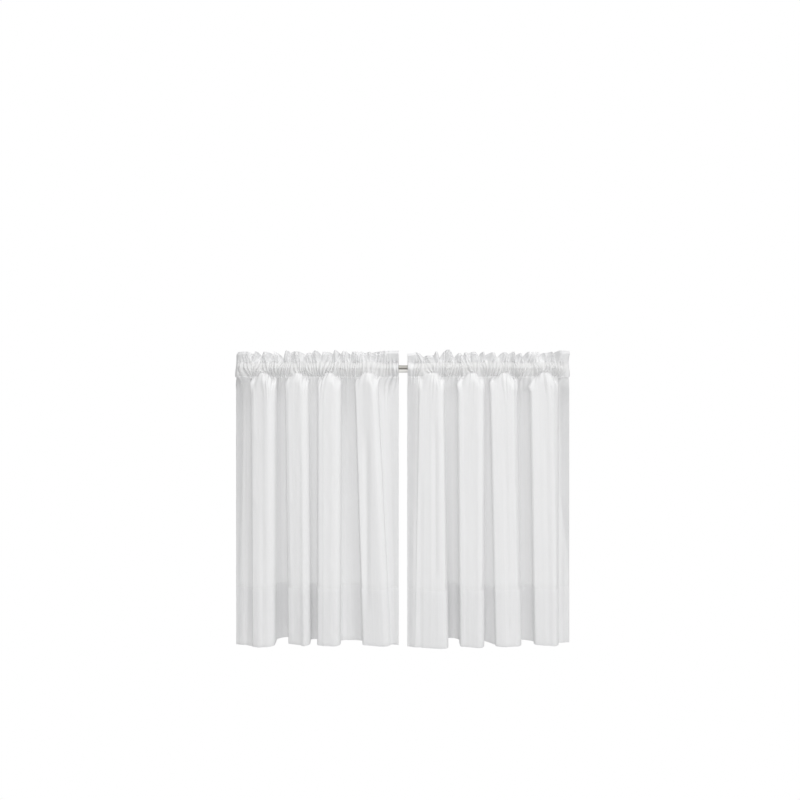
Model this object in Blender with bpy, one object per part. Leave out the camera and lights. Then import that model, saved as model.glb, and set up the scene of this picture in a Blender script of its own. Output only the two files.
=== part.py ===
"""A pair of sheer cafe curtains, gathered by their rod pockets on one wall rod.

Metres, +Z up. The front faces -Y, the wall is the plane y = 0, and the origin is the point of
the wall midway between the rod's two ends, level with the rod's axis. Each panel is one piece
of cloth, so its heading, rod pocket and hem are part of one solid.
"""

import math
from typing import NamedTuple

import bmesh
import bpy
import numpy as np

MM = 0.001

# The rod, one tube bent back to the wall at both ends.
ROD_RADIUS = 9.5 * MM
ROD_PROJECTION = 64 * MM
ROD_HALF_SPAN = 431 * MM
BEND_RADIUS = 20 * MM
BEND_STEPS = 8

# Heights above the rod's axis. The ruffles lift and lower the heading's top from its middle height.
HEADING_TOP = 43.5 * MM
POCKET_TIP = 17.8 * MM
HIGH_SECTION = -145 * MM
HEM_BOTTOM = -711 * MM

# The heights at which a panel is drawn, from its hem to the top of its heading.
BODY_HEIGHTS = (HEM_BOTTOM, -560 * MM, -350 * MM, HIGH_SECTION, -90 * MM, -62 * MM, -44 * MM, -30 * MM)
POCKET_HEIGHTS = (-16.2 * MM, -10.5 * MM, -3.5 * MM, 3.5 * MM, 10.5 * MM, 16.2 * MM)
HEADING_HEIGHTS = (21 * MM, 32 * MM, HEADING_TOP)

# How far below the pocket the gathers have opened into the folds, and how open they start.
GATHER_FADE = 48 * MM
OPEN_AT_POCKET = 0.06

# The cloth as a solid sheet, and the two layers of the heading.
CLOTH_THICKNESS = 1.5 * MM
HEADING_THICKNESS = 2.4 * MM
POCKET_CLEARANCE = 0.4 * MM
POCKET_WALL = 1.6 * MM
POCKET_TIP_WALL = 2.2 * MM
POCKET_INSIDE_LEVELS = (-1, -0.6, -0.4, -0.2, 0, 0.2, 0.4, 0.6, 1)

# Gathers across one panel, and how far they swell at the pocket, in the heading and in the cloth.
GATHERS = 24
COLUMNS_PER_GATHER = 4
GATHER_HEIGHT = 2.6 * MM
GATHER_IN_HEADING = 1 / 3
GATHER_IN_CLOTH = 0.6
GATHER_BEHIND = 0.4

# Gathers are deeper where more cloth is pushed together, between these shares of their height.
FULLNESS_LEAST = 0.25
FULLNESS_GAIN = 0.6
FULLNESS_MOST = 1.3
FULLNESS_REACH = 0.012

# How far each panel's pocket follows the rod round its bend. The heading and the cloth below
# step out there to the pocket's front, so the panel's outer edge is straight from top to hem.
WRAP_ANGLE = math.radians(72)
WRAP_LENGTH = 28 * MM
WRAP_STEP_OUT = 10 * MM
WRAP_FLATTENS = 0.8

# The corners of a fold's section, in millimetres and as shares of its width and depth.
TUCK = 4.5
CROWN_BULGE = 2
SIDE_SHARE = 0.55
SHOULDER_SHARE = 0.05
CROWN_SHARE = 0.3
CORNERS_PER_FOLD = 8
CROWN_CORNER = 4


class Fold(NamedTuple):
    """One fold in millimetres: its edges along x, its crown, and the valley after it.

    The crown has a depth at each side, and the valley one at its start and one at its end.
    """

    left: float
    right: float
    out_left: float
    out_right: float
    dip: float
    dip_end: float


class Wave(NamedTuple):
    """A slow unevenness along the gathers: its size, and its turn from column to column."""

    size: float
    rate: float


SPACING_WAVES = (Wave(size=0.3, rate=1.7), Wave(0.25, 0.61))
HEIGHT_WAVE = Wave(size=0.2, rate=0.9)


class Section(NamedTuple):
    """One panel's section: (x, out) of its two edges, and the folds between them."""

    first: tuple
    folds: tuple
    last: tuple


class Ruffle(NamedTuple):
    """One crest or notch of the heading's top edge in millimetres, above the rod's axis."""

    x: float
    top: float
    out: float


# "out" is how far the cloth stands in front of the rod's axis, in millimetres.
LEFT_RUFFLES = (
    Ruffle(x=-431, top=43, out=0),
    Ruffle(-396, 43, 0),
    Ruffle(-388, 39, 3),
    Ruffle(-378, 44, 3),
    Ruffle(-369, 36, -4),
    Ruffle(-352, 43, 5),
    Ruffle(-334, 37, -4),
    Ruffle(-324, 43, 4),
    Ruffle(-310, 25, -2),
    Ruffle(-296, 45, 4),
    Ruffle(-268, 43, 5),
    Ruffle(-253, 37, -4),
    Ruffle(-234, 42, 2),
    Ruffle(-222, 45, 4),
    Ruffle(-210, 33, -4),
    Ruffle(-198, 44, 4),
    Ruffle(-181, 39, -3),
    Ruffle(-172, 46, 4),
    Ruffle(-162, 39, -4),
    Ruffle(-151, 45, 4),
    Ruffle(-134, 38, -4),
    Ruffle(-124, 43, 5),
    Ruffle(-103, 42, -2),
    Ruffle(-88, 43, 3),
    Ruffle(-78, 43, -1),
    Ruffle(-45, 45, 0),
    Ruffle(-10, 45, 0),
)
RIGHT_RUFFLES = (
    Ruffle(x=11, top=38, out=0),
    Ruffle(38, 41, 1),
    Ruffle(53, 30, -3),
    Ruffle(64, 34, 3),
    Ruffle(78, 34, 2),
    Ruffle(88, 44, 4),
    Ruffle(97, 31, -4),
    Ruffle(118, 48, 5),
    Ruffle(135, 30, -4),
    Ruffle(150, 41, 4),
    Ruffle(158, 37, -3),
    Ruffle(165, 43, 3),
    Ruffle(184, 43, 4),
    Ruffle(198, 33, -4),
    Ruffle(209, 43, 3),
    Ruffle(216, 35, -3),
    Ruffle(232, 41, 5),
    Ruffle(248, 31, -4),
    Ruffle(269, 43, 4),
    Ruffle(277, 38, -2),
    Ruffle(286, 43, 4),
    Ruffle(295, 34, -4),
    Ruffle(304, 40, 3),
    Ruffle(315, 31, -4),
    Ruffle(322, 43, 4),
    Ruffle(343, 43, 1),
    Ruffle(352, 44, -3),
    Ruffle(360, 39, -3),
    Ruffle(368, 42, 4),
    Ruffle(382, 42, -2),
    Ruffle(391, 43, 3),
    Ruffle(398, 45, 0),
    Ruffle(433, 45, 0),
)
LEFT_HIGH = Section(
    first=(-431, -4),
    folds=(
        Fold(left=-384, right=-321, out_left=24, out_right=26, dip=-38, dip_end=-38),
        Fold(-298, -239, 20, 20, -29, -29),
        Fold(-218, -157, 22, 20, -24, -24),
        Fold(-117, -57, 18, 22, 0, 4),
    ),
    last=(-10, 4),
)
LEFT_LOW = Section(
    first=(-431, 12),
    folds=(
        Fold(left=-381, right=-321, out_left=22, out_right=27, dip=-24, dip_end=-38),
        Fold(-293, -240, 12, 19, -26, -26),
        Fold(-219, -159, 19, 19, -18, -14),
        Fold(-101, -30, 17, 20, 13, 14),
    ),
    last=(-10, 14),
)
RIGHT_HIGH = Section(
    first=(11, 4),
    folds=(
        Fold(left=40, right=109, out_left=24, out_right=27, dip=-37, dip_end=-37),
        Fold(144, 208, 26, 28, -30, -30),
        Fold(230, 295, 26, 22, -27, -27),
        Fold(335, 399, 22, 20, -8, -10),
    ),
    last=(433, -10),
)
RIGHT_LOW = Section(
    first=(12, 26),
    folds=(
        Fold(left=32, right=117, out_left=33, out_right=37, dip=-38, dip_end=-26),
        Fold(148, 208, 25, 29, -12, 10),
        Fold(239, 305, 30, 16, -11, -11),
        Fold(343, 404, 17, 17, 5, -8),
    ),
    last=(434, -10),
)


def clear_scene():
    for old in list(bpy.data.objects):
        bpy.data.objects.remove(old)


def new_collection(name):
    collection = bpy.data.collections.new(name)
    bpy.context.scene.collection.children.link(collection)
    return collection


def finish(name, color, roughness):
    material = bpy.data.materials.new(name)
    material.use_nodes = True
    shader = material.node_tree.nodes["Principled BSDF"]
    shader.inputs["Base Color"].default_value = color
    shader.inputs["Roughness"].default_value = roughness
    return material


def corner_points(section):
    """The corners of a section, from its left edge to its right, in metres from the rod's axis."""
    points = [section.first]
    dip_before = section.first[1]
    for fold in section.folds:
        width = fold.right - fold.left
        side_left = dip_before + SIDE_SHARE * (fold.out_left - dip_before)
        side_right = fold.dip + SIDE_SHARE * (fold.out_right - fold.dip)
        points += [
            (fold.left + TUCK, dip_before),
            (fold.left, side_left),
            (fold.left + SHOULDER_SHARE * width, fold.out_left),
            (fold.left + CROWN_SHARE * width, fold.out_left + CROWN_BULGE),
            (fold.right - CROWN_SHARE * width, fold.out_right + CROWN_BULGE),
            (fold.right - SHOULDER_SHARE * width, fold.out_right),
            (fold.right, side_right),
            (fold.right - TUCK, fold.dip),
        ]
        dip_before = fold.dip_end
    points.append(section.last)
    return np.array(points) * MM


def rounded(points, rounds=3):
    """Cuts every corner of a line of points again and again, which leaves a smooth curve."""
    for _ in range(rounds):
        first, second = points[:-1], points[1:]
        cuts = np.empty((2 * len(first), 2))
        cuts[0::2] = 0.75 * first + 0.25 * second
        cuts[1::2] = 0.25 * first + 0.75 * second
        points = np.vstack([points[:1], cuts, points[-1:]])
    return points


def arc_length(points):
    steps = np.linalg.norm(np.diff(points, axis=0), axis=1)
    return np.concatenate([[0], np.cumsum(steps)])


def at_stations(points, stations):
    """The places on a curve that lie this many of its own points from its start."""
    count = np.arange(len(points))
    return np.stack([np.interp(stations, count, points[:, axis]) for axis in (0, 1)], axis=1)


def fold_knots(section):
    """(share of the cloth, x) at each edge, crown and valley. Between them it gathers evenly."""
    corners = corner_points(section)
    length = arc_length(corners)
    shares, places = [0], [corners[0, 0]]
    for index in range(len(section.folds)):
        crown = CROWN_CORNER + CORNERS_PER_FOLD * index
        valley = CORNERS_PER_FOLD * (index + 1)
        is_last = index == len(section.folds) - 1
        for stop in (crown,) if is_last else (crown, valley):
            shares.append((length[stop] + length[stop + 1]) / 2 / length[-1])
            places.append((corners[stop, 0] + corners[stop + 1, 0]) / 2)
    return np.array(shares + [1]), np.array(places + [corners[-1, 0]])


def rod_point(x):
    """(x, y) on the rod's axis and its outward normal, where a panel's pocket reaches x.

    Past the start of a bend, x counts along the rod instead, so the pocket turns with it.
    """
    bend_start = ROD_HALF_SPAN - ROD_RADIUS - BEND_RADIUS
    side = math.copysign(1, x)
    angle = max(0, abs(x) - bend_start) / WRAP_LENGTH * WRAP_ANGLE
    along = min(abs(x), bend_start) + BEND_RADIUS * math.sin(angle)
    depth = ROD_PROJECTION - BEND_RADIUS * (1 - math.cos(angle))
    normal = np.array([side * math.sin(angle), -math.cos(angle)])
    return np.array([side * along, -depth]), normal, math.sin(angle)


def layer_out(height, radius, tip, tip_out, side):
    """How far out of the rod's axis the pocket's front (side 1) or back (side -1) layer is.

    A layer follows a round of this radius and leaves it on a straight line to the stitching,
    which lies at the height of the tip, above and below, and tip_out in front of the axis.
    """
    level = min(abs(height), tip)
    reach = math.hypot(tip_out, tip)
    touch_angle = math.atan2(tip, tip_out) - side * math.acos(radius / reach)
    touch_out = radius * math.cos(touch_angle)
    touch_level = radius * math.sin(touch_angle)
    if level <= touch_level:
        return side * math.sqrt(radius**2 - level**2)
    share = (level - touch_level) / (tip - touch_level)
    return touch_out + share * (tip_out - touch_out)


def ease(share):
    share = min(1, max(0, share))
    return share * share * (3 - 2 * share)


class Column(NamedTuple):
    """One vertical thread of a panel: its place on the rod and what the gathers do there."""

    station: float
    on_rod: np.ndarray
    normal: np.ndarray
    wrap: float
    gather: float
    fullness: float
    top: float
    lean: float


def panel_columns(section, ruffles):
    count = GATHERS * COLUMNS_PER_GATHER
    knot_shares, knot_places = fold_knots(section)
    curve = rounded(corner_points(section))
    curve_length = arc_length(curve)
    cloth_width = curve_length[-1]
    ruffle_places = [ruffle.x * MM for ruffle in ruffles]
    columns = []
    for index in range(count + 1):
        wobble = sum(wave.size * math.sin(wave.rate * index) for wave in SPACING_WAVES)
        share = index / count + (wobble / count if 0 < index < count else 0)
        place = np.interp(share, knot_shares, knot_places)
        start, end = max(0, share - FULLNESS_REACH), min(1, share + FULLNESS_REACH)
        nearby = np.interp([start, end], knot_shares, knot_places)
        pushed_together = (end - start) * cloth_width / (nearby[1] - nearby[0])
        fullness = FULLNESS_LEAST + FULLNESS_GAIN * math.sqrt(max(0, pushed_together**2 - 1))
        point, normal, wrap = rod_point(place)
        turn = index / COLUMNS_PER_GATHER * 2 * math.pi
        uneven = 1 - HEIGHT_WAVE.size + HEIGHT_WAVE.size * math.sin(HEIGHT_WAVE.rate * index)
        top = np.interp(place, ruffle_places, [ruffle.top * MM for ruffle in ruffles])
        lean = np.interp(place, ruffle_places, [ruffle.out * MM for ruffle in ruffles])
        columns.append(
            Column(
                station=np.interp(share * cloth_width, curve_length, np.arange(len(curve))),
                on_rod=point,
                normal=normal,
                wrap=wrap,
                gather=math.cos(turn) * uneven,
                fullness=min(FULLNESS_MOST, fullness),
                top=top,
                lean=lean,
            )
        )
    return columns


def heading_row(columns, height):
    """The slab of the heading, which ruffles more towards its uneven top."""
    rise = (height - POCKET_TIP) / (HEADING_TOP - POCKET_TIP)
    row = []
    for column in columns:
        gathered = column.gather * GATHER_HEIGHT * GATHER_IN_HEADING * column.fullness
        offset = rise * column.lean + (1 - rise) * gathered + WRAP_STEP_OUT * column.wrap
        centre = column.on_rod + column.normal * offset
        half = column.normal * HEADING_THICKNESS / 2
        level = POCKET_TIP + rise * (column.top - POCKET_TIP)
        row.append((*(centre + half), *(centre - half), level))
    return row


def pocket_row(columns, height):
    """The pocket's outer wall, front and back, which swells with each gather."""
    radius = ROD_RADIUS + POCKET_CLEARANCE + POCKET_WALL
    row = []
    for column in columns:
        step_out = WRAP_STEP_OUT * column.wrap
        swell = GATHER_HEIGHT * column.fullness * (1 - WRAP_FLATTENS * column.wrap)
        front_out = layer_out(height, radius, POCKET_TIP, step_out, 1)
        back_out = layer_out(height, radius, POCKET_TIP, step_out, -1)
        front_out = max(front_out, step_out + HEADING_THICKNESS / 2)
        back_out = min(back_out, step_out - HEADING_THICKNESS / 2)
        front_out += swell * (1 + column.gather) / 2
        back_out -= GATHER_BEHIND * swell * (1 - column.gather) / 2
        front = column.on_rod + column.normal * front_out
        back = column.on_rod + column.normal * back_out
        row.append((*front, *back, height))
    return row


def body_row(columns, height, high, low):
    """The hanging cloth: gathers that open into the folds of the two measured sections."""
    stations = np.array([column.station for column in columns])
    fall = (height - HIGH_SECTION) / (HEM_BOTTOM - HIGH_SECTION)
    corners = (1 - fall) * corner_points(high) + fall * corner_points(low)
    folded = at_stations(rounded(corners), stations)
    folded[:, 1] = -ROD_PROJECTION - folded[:, 1]
    depth = -POCKET_TIP - height
    opened = ease(OPEN_AT_POCKET + depth / GATHER_FADE)
    centres = []
    for column, hanging in zip(columns, folded):
        swing = column.gather * GATHER_HEIGHT * GATHER_IN_CLOTH * column.fullness
        gathered = column.on_rod + column.normal * (swing + WRAP_STEP_OUT * column.wrap)
        centres.append((1 - opened) * gathered + opened * hanging)
    centres = np.array(centres)
    along = np.gradient(centres, axis=0)
    along /= np.linalg.norm(along, axis=1)[:, None]
    half = np.stack([along[:, 1], -along[:, 0]], axis=1) * CLOTH_THICKNESS / 2
    return [(*front, *back, height) for front, back in zip(centres + half, centres - half)]


def panel_mesh(name, ruffles, high, low):
    """Lofts a panel: one closed ring for each column, up its front and down its back."""
    columns = panel_columns(high, ruffles)
    rows = [body_row(columns, height, high, low) for height in BODY_HEIGHTS]
    rows += [pocket_row(columns, height) for height in POCKET_HEIGHTS]
    rows += [heading_row(columns, height) for height in HEADING_HEIGHTS]
    fronts = [[(x, y, z) for x, y, _, _, z in row] for row in rows]
    backs = [[(x, y, z) for _, _, x, y, z in row] for row in reversed(rows)]

    shape = bmesh.new()
    loops = [[shape.verts.new(point) for point in row] for row in fronts + backs]
    for lower, upper in zip(loops, loops[1:] + loops[:1]):
        for first in range(len(columns) - 1):
            second = first + 1
            shape.faces.new((lower[first], lower[second], upper[second], upper[first]))
    for end in (0, -1):
        for level in range(len(rows) - 1):
            front, back = loops[level], loops[-1 - level]
            front_above, back_above = loops[level + 1], loops[-2 - level]
            shape.faces.new((front[end], front_above[end], back_above[end], back[end]))
    bmesh.ops.recalc_face_normals(shape, faces=shape.faces)
    mesh = bpy.data.meshes.new(name)
    shape.to_mesh(mesh)
    shape.free()
    mesh.shade_smooth()
    return mesh


def rod_path():
    """The rod's axis, from the wall on the left to the wall on the right."""
    bend_start = ROD_HALF_SPAN - ROD_RADIUS - BEND_RADIUS
    bend = []
    for step in range(BEND_STEPS + 1):
        angle = step / BEND_STEPS * math.pi / 2
        x = bend_start + BEND_RADIUS * math.sin(angle)
        y = -ROD_PROJECTION + BEND_RADIUS * (1 - math.cos(angle))
        bend.append((x, y))
    right = bend + [(bend[-1][0], 0.0)]
    left = [(-x, y) for x, y in reversed(right)]
    return left + right


def rod_normals():
    """The level direction from the rod's axis to the outside of its bends, at each path point."""
    bend = [step / BEND_STEPS * math.pi / 2 for step in range(BEND_STEPS + 1)]
    right = [(math.sin(angle), -math.cos(angle)) for angle in bend] + [(1.0, 0.0)]
    left = [(-x, y) for x, y in reversed(right)]
    return left + right


def pocket_inside(collection):
    """The closed shape that the pockets leave clear: it holds the rod from wall to wall."""
    radius = ROD_RADIUS + POCKET_CLEARANCE
    tip = POCKET_TIP - POCKET_TIP_WALL
    heights = [tip * level for level in POCKET_INSIDE_LEVELS]
    shape = bmesh.new()
    rings = []
    for (x, y), (normal_x, normal_y) in zip(rod_path(), rod_normals()):
        step_out = radius * abs(normal_x)
        outs = [(layer_out(height, radius, tip, step_out, 1), height) for height in heights]
        outs += [(layer_out(height, radius, tip, step_out, -1), height) for height in heights[-2:0:-1]]
        rings.append([shape.verts.new((x + out * normal_x, y + out * normal_y, z)) for out, z in outs])
    around = len(rings[0])
    for before, after in zip(rings, rings[1:]):
        for first in range(around):
            second = (first + 1) % around
            shape.faces.new((before[first], before[second], after[second], after[first]))
    shape.faces.new(rings[0])
    shape.faces.new(rings[-1])
    bmesh.ops.recalc_face_normals(shape, faces=shape.faces)
    mesh = bpy.data.meshes.new("pocket_inside")
    shape.to_mesh(mesh)
    shape.free()
    cutter = bpy.data.objects.new("pocket_inside", mesh)
    collection.objects.link(cutter)
    cutter.hide_render = True
    cutter.display_type = "WIRE"
    return cutter


def make_rod(collection):
    curve = bpy.data.curves.new("curtain_rod", "CURVE")
    curve.dimensions = "3D"
    curve.twist_mode = "Z_UP"
    curve.bevel_depth = ROD_RADIUS
    curve.bevel_resolution = 4
    curve.use_fill_caps = True
    path = rod_path()
    spline = curve.splines.new("POLY")
    spline.points.add(len(path) - 1)
    for point, (x, y) in zip(spline.points, path):
        point.co = (x, y, 0, 1)
    curve.materials.append(finish("rod_enamel", (0.80, 0.78, 0.72, 1), 0.3))
    rod = bpy.data.objects.new("curtain_rod", curve)
    collection.objects.link(rod)
    return rod


def make_panel(name, ruffles, high, low, cutter, collection):
    panel = bpy.data.objects.new(name, panel_mesh(name, ruffles, high, low))
    panel.data.materials.append(finish(name + "_voile", (0.90, 0.90, 0.89, 1), 0.9))
    collection.objects.link(panel)
    bore = panel.modifiers.new("pocket", "BOOLEAN")
    bore.operation = "DIFFERENCE"
    bore.solver = "EXACT"
    bore.object = cutter
    return panel


def main():
    clear_scene()
    parts = new_collection("cafe_curtain")
    cutters = new_collection("cutters")
    make_rod(parts)
    cutter = pocket_inside(cutters)
    make_panel("panel_left", LEFT_RUFFLES, LEFT_HIGH, LEFT_LOW, cutter, parts)
    make_panel("panel_right", RIGHT_RUFFLES, RIGHT_HIGH, RIGHT_LOW, cutter, parts)


main()
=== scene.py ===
"""The looks of a pair of sheer cafe curtains, gathered on one wall rod.

Metres, +Z up. The front faces -Y, the wall is the plane y = 0, and the rod's axis is at z = 0.
Each panel is one continuous sheet of voile: its rod pocket, ruffled heading and hems are
turned back from the same cloth, as they are sewn, so the doubled parts are less see-through.
"""

import math
from typing import NamedTuple

import bpy
import numpy as np
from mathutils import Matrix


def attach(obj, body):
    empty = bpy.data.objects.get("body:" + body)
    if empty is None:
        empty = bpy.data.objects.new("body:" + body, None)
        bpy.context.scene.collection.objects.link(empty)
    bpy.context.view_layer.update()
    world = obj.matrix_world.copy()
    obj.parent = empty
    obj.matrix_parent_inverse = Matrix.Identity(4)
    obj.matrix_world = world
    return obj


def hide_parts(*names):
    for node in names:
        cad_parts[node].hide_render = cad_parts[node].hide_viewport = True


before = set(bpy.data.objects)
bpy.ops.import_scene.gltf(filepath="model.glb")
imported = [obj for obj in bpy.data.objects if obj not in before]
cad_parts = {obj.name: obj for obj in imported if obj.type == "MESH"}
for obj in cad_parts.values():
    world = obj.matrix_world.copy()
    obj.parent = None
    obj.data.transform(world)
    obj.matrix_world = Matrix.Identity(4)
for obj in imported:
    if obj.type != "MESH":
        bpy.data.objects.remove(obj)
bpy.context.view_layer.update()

MM = 0.001

# The rod, one tube bent back to the wall at both ends, with the groove of a lapped seam in front.
ROD_RADIUS = 9.5 * MM
ROD_PROJECTION = 64 * MM
ROD_HALF_SPAN = 431 * MM
BEND_RADIUS = 20 * MM
BEND_STEPS = 16
RING_POINTS = 120
SEAM_HEIGHT = -1.9 * MM
SEAM_WIDTH = 3.2 * MM
SEAM_DEPTH = 2 * MM

# The camera stands a little below the rod's height and this far in front of it. Its shift is in
# widths of the picture.
CAMERA_DISTANCE = 1.45
CAMERA_HEIGHT = -80 * MM
CAMERA_LENS = 25.3
SENSOR_WIDTH = 36
CAMERA_SHIFT = -2.5 / 800

# How bright the white backdrop is to the camera, and how bright it is as a light.
BACKDROP_STRENGTH = 1.0
FILL_STRENGTH = 0.38

FLOOR_HALF_WIDTH = 1.3
FLOOR_FRONT = -1.6
FLOOR_BACK = 0.45
FLOOR_LEVEL = -1.55

# Heights above the rod's axis. The pocket's seams lie at its tip, above and below the rod.
POCKET_TIP = 17.8 * MM
HIGH_SECTION = -145 * MM
HEM_LINE = -558.5 * MM
HEM_BOTTOM = -706.5 * MM

# Where a panel's pocket follows the rod round its bend, the cloth above and below steps out.
WRAP_ANGLE = math.radians(72)
WRAP_LENGTH = 28 * MM
WRAP_STEP_OUT = 11 * MM
WRAP_CALM = 0.5

# The corners of a fold's section, in millimetres and as shares of its width and depth. Its crown
# is fuller to the right and meets its sides in tight corners, and its foot is tucked in under it.
TUCK = 4.5
TUCK_SHARE = 0.2
CROWN_BULGE = 8
LEFT_BULGE = 1.5
MIDDLE_BULGE = 5
RIGHT_BULGE = 6
SIDE_SHARE = 0.55
LEFT_SHARE = 0.4
RIGHT_SHARE = 0.28
EDGE_DROP = 7
EDGE_IN = 2
EDGE_FLAT = 8
CORNERS_PER_FOLD = 12
CROWN_CORNER = 6
CORNER_CUTS = 5
CUT_SHARE = 0.25

# The stitches, and how deep the hem's seam draws the cloth in.
STITCH_PITCH = 3.4 * MM
STITCH_LENGTH = 2.4 * MM
STITCH_WIDTH = 0.45 * MM
STITCH_PROUD = 0.25 * MM
STITCH_SUNK = 0.15 * MM
HEM_PINCH = 0.5 * MM
PINCH_HEIGHT = 1.6 * MM

# The hems, and the gaps between the cloth's face and what is turned back behind it. The two
# lengths along the cloth start at its lower fold: to the end of its double part, and to the pocket.
# Up to the first and beyond the second, the cloth's colour has painted light.
SIDE_HEM = 22 * MM
SIDE_HEM_TURN = 1.5
HEM_DOUBLED = 145 * MM
POCKET_STARTS_ALONG = 688 * MM
POCKET_EDGE = 2.5 * MM
LAYER_GAP = 0.5 * MM
HEM_GAP = 1.3 * MM
HEADING_GAP = 2.4 * MM
STITCHED_GAP = 0.6 * MM
FOLD_ROUND = 0.6 * MM

# The sheet's columns between its edges and in a side hem, and its rows, which lie closest where
# the cloth is gathered.
COLUMNS = 560
SIDE_COLUMNS = 9
SEAM_ROW_GAP = 2 * MM
HEM_ROWS = 17
HEM_BACK_GAP = 3 * MM
HEM_BACK_ROWS = 12
FOLDS_START = 12 * MM
FOLDS_END = -130 * MM
FOLD_ROWS = 38
CROWNS_START = -122 * MM
CROWNS_END = -66 * MM
CROWN_ROWS = 9
GATHERS_START = -62 * MM
GATHERS_GAP = 1.5 * MM
GATHER_ROWS = 20
POCKET_ROWS = 17
POCKET_BACK_ROWS = 13
HEADING_FIRST = 0.06
HEADING_ROWS = 13
HEADING_BACK_FIRST = 0.97
HEADING_BACK_LAST = 0.1
HEADING_BACK_ROWS = 8

# Gathers across one panel: how uneven they are, how they slant and how far they swell. They are
# fuller where the cloth is packed closer, and on the pocket's back they lie half a gather across.
GATHERS = 56
GATHER_JITTER = 0.5
GATHER_ROUND = 1.15
GATHER_STRENGTHS = (0.3, 1.5)
MIDDLE_SWELL = 0.5
FULLNESS_FLAT = 0.35
FULLNESS_PACKED = 0.5
FULLNESS_MOST = 1.25
BACK_DRIFT = 0.5
BELOW_LAST = 1e-6
SLANT_CELL = 30 * MM
STITCH_WAVE = 2.4 * MM
STITCH_WOBBLE = 1.3 * MM
WOBBLE_CELL = 11 * MM
POCKET_BULGE = 7.5 * MM
POCKET_SQUARE = 2.6
POCKET_SMOOTH = 0.6
STREAKS_START = 8 * MM
STREAKS_FULL = -6 * MM
STITCH_FORWARD = 13.5 * MM
VALLEY_FORWARD = 0.2
BODY_BULGE = 4.2 * MM
VALLEY_STRENGTH = 1.3
CROWN_WEAKENS = 0.5
GATHER_FADE = 1.3
SPRING_OUT = 4 * MM
STREAK_SHORTEST = 8 * MM
STREAK_LONGEST = 42 * MM

# The heading above the pocket: loose petals that lean, puff out and curl back at their rim, and
# smooth flaps at the panel's two ends.
PETAL_DEPTH = 3.0
PETAL_ROUND = 0.8
LOOSE_DEPTH = 6 * MM
LOOSE_CELL = 4.8 * MM
LOOSE_RISE = 0.3
PUFF = 1.5 * MM
FLAP_FADE = 2.5
FLAP_SMOOTH = 16 * MM
FLAP_ENDS = 40 * MM
RIM_START = 0.76
RIM_BACK = 6.5 * MM

# Faint unevenness of the hanging cloth: depth, cell across, cell along and seed. A grid of noise
# has a few cells more than it spans.
UNEVENNESS = (
    (0.5 * MM, 13 * MM, 170 * MM, 5),
    (0.3 * MM, 5 * MM, 90 * MM, 8),
)
SETTLED_BELOW = 60 * MM
NOISE_MARGIN = 3

# The share of a crease's length that it fades over, and where one that stops short is gone.
CREASE_FADE = 0.25
CREASE_END = 1.05

# How far below the pocket the cloth has spread along x, and how far below it has come forward.
# The crowns come forward sooner, and their edges later, which makes the arches at their tops.
SPREAD_FADE = 30 * MM
EARLY_SPREAD = 0.16
FORWARD_FADE = 44 * MM
CROWN_LEADS = 20 * MM
ARCH_DELAY = 9 * MM

# The voile's look: cells a metre across and along the cloth, how much of it is thread, its tones,
# with painted light that makes it lighter where it is doubled at the hem and from the pocket up,
# and how much of the light that it catches glows through it.
THREAD_SPACING = 0.6 * MM
WARP_SLUB_CELLS = (420.0, 3.0)
WEFT_SLUB_CELLS = (3.5, 520.0)
WARP_SHARE = 0.8
CLOUD_CELLS = (9.0, 5.0)
CLOUD_TONE = 0.02
COVER_RANGE = (0.815, 0.865)
COVER_WEAVE = 0.03
TONE_RANGE = (0.895, 0.925)
GATHERED_PAINTED_LIGHT = 0.065
DOUBLED_PAINTED_LIGHT = 0.035
VOILE_TINT = (0.995, 0.996, 1.0)
WEAVE_RELIEF = 0.3
WEAVE_HEIGHT = 0.2 * MM
GLOW_SHARE = 0.3

# Two tones of the sewing thread, painted darker than white for the shade along its seams; of the
# rod's enamel below its seam, and of its painted shade above it; and of the floor; with the one tone
# of the seam's painted shadow.
SHADED_THREAD_TONES = ((0.72, 0.72, 0.71), (0.80, 0.80, 0.79))
ENAMEL_TONES = ((0.82, 0.81, 0.78), (0.86, 0.85, 0.82))
UPPER_SHADE_TONES = ((0.35, 0.34, 0.31), (0.42, 0.41, 0.38))
SEAM_SHADOW_TONE = (0.10, 0.09, 0.08)
FLOOR_TONES = ((0.86,) * 3, (0.90,) * 3)
PEEL_HEIGHT = 0.3 * MM

# The colour sockets of a mix node.
BLEND_FIRST = 6
BLEND_SECOND = 7
BLEND_RESULT = 2

# The pocket's lower stitching is drawn up where a fold's crown starts from it.
DRAWN_UP = 8 * MM
DRAWN_FROM = 0.42
DRAWN_ALL = 0.86
DRAWN_ABOVE = 14 * MM
DRAWN_BELOW = 60 * MM


class Fold(NamedTuple):
    """One fold in millimetres: its edges along x, its crown, and the valley after it."""

    left: float
    right: float
    out_left: float
    out_right: float
    dip: float
    dip_end: float


class Section(NamedTuple):
    """One panel's section: (x, out) of its edges, the out its first strip ends at, and its folds."""

    first: tuple
    strip_end: float
    folds: tuple
    last: tuple


class Ruffle(NamedTuple):
    """A crest or notch of the heading's top edge in millimetres, and where its line starts below."""

    x: float
    top: float
    out: float
    foot: float


class Crease(NamedTuple):
    """A soft trough (negative depth) or ridge down the cloth, in millimetres."""

    x_top: float
    x_bottom: float
    width: float
    depth: float
    top: float
    bottom: float


class Knuckle(NamedTuple):
    """A place at the top of a fold where its edge sticks out sideways, in millimetres."""

    x: float
    level: float
    size: float
    shift: float


class Panel(NamedTuple):
    """What differs between the two panels: its section at two heights, and its details."""

    side: str
    high: Section
    low: Section
    ruffles: tuple
    creases: tuple
    knuckles: tuple
    seed: int


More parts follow.
